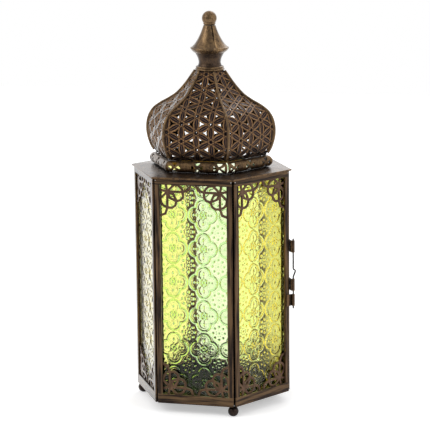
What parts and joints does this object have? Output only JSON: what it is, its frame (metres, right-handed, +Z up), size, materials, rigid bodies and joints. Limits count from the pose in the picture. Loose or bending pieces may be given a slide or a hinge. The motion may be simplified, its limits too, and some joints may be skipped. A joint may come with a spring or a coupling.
{
  "type": "moroccan lantern",
  "caption": "Hexagonal metal and coloured glass lantern for a candle, with a pierced onion dome, a hinged door and a sliding bolt.",
  "frame": {"origin": "on the surface the lantern stands on, at the centre of its footprint, on the lantern's vertical axis", "axes": "+Z up along the lantern's axis, -Y out of the front pane, which is one side of the hexagon, and +X towards a corner of the hexagon"},
  "size_m": [0.1499, 0.1282, 0.3478],
  "materials": {
    "bronze_sheet": "dark bronze patina, worn to golden brown along edges, satin",
    "rubbed_bronze": "bronze patina rubbed golden, satin",
    "dark_iron": "near-black patina, satin",
    "pale_green_glass": "pressed quatrefoil relief on the outer face, glossy",
    "yellow_glass": "pressed quatrefoil relief on the outer face, glossy",
    "amber_glass": "pressed quatrefoil relief on the outer face, glossy"
  },
  "bodies": {
    "lantern_body": {"front_frame": "bronze_sheet", "front_fretwork": "bronze_sheet", "front_pane": "pale_green_glass", "right_front_frame": "bronze_sheet", "right_front_fretwork": "bronze_sheet", "right_front_pane": "yellow_glass", "back_frame": "bronze_sheet", "back_fretwork": "bronze_sheet", "back_pane": "pale_green_glass", "back_left_frame": "bronze_sheet", "back_left_fretwork": "bronze_sheet", "back_left_pane": "yellow_glass", "left_frame": "bronze_sheet", "left_fretwork": "bronze_sheet", "left_pane": "amber_glass", "collar_front": "bronze_sheet", "dome_gore_front": "bronze_sheet", "collar_right_front": "bronze_sheet", "dome_gore_right_front": "bronze_sheet", "collar_right_back": "bronze_sheet", "dome_gore_right_back": "bronze_sheet", "collar_back": "bronze_sheet", "dome_gore_back": "bronze_sheet", "collar_back_left": "bronze_sheet", "dome_gore_back_left": "bronze_sheet", "collar_left": "bronze_sheet", "dome_gore_left": "bronze_sheet", "dome_rib_right": "rubbed_bronze", "dome_rib_back_right": "rubbed_bronze", "dome_rib_back_left": "rubbed_bronze", "dome_rib_left": "rubbed_bronze", "dome_rib_front_left": "rubbed_bronze", "dome_rib_front_right": "rubbed_bronze", "base_tray": "dark_iron", "foot_back_right": "bronze_sheet", "foot_left": "bronze_sheet", "foot_front": "bronze_sheet", "top_plate": "bronze_sheet", "finial_waist": "bronze_sheet", "finial_bell": "rubbed_bronze", "finial_knob": "rubbed_bronze", "hinge_lower_frame_knuckle": "bronze_sheet", "hinge_lower_pin": "dark_iron", "hinge_upper_frame_knuckle": "bronze_sheet", "hinge_upper_pin": "dark_iron", "latch_keeper": "bronze_sheet"},
    "door": {"door_frame": "bronze_sheet", "door_fretwork": "bronze_sheet", "door_pane": "amber_glass", "hinge_lower_door_knuckle": "bronze_sheet", "hinge_upper_door_knuckle": "bronze_sheet", "latch_sleeve_lower": "bronze_sheet", "latch_sleeve_upper": "bronze_sheet"},
    "latch_bolt": {"latch_bolt": "dark_iron"}
  },
  "joints": [
    {"name": "door_hinge", "type": "hinge", "parent": "lantern_body", "child": "door", "pos_m": [0.0366, 0.06339, 0.1], "axis": [0, 0, 1], "range_deg": [0, 120]},
    {"name": "bolt_slide", "type": "slide", "parent": "door", "child": "latch_bolt", "axis": [0, 0, 1], "range_m": [0, 0.0145]}
  ]
}
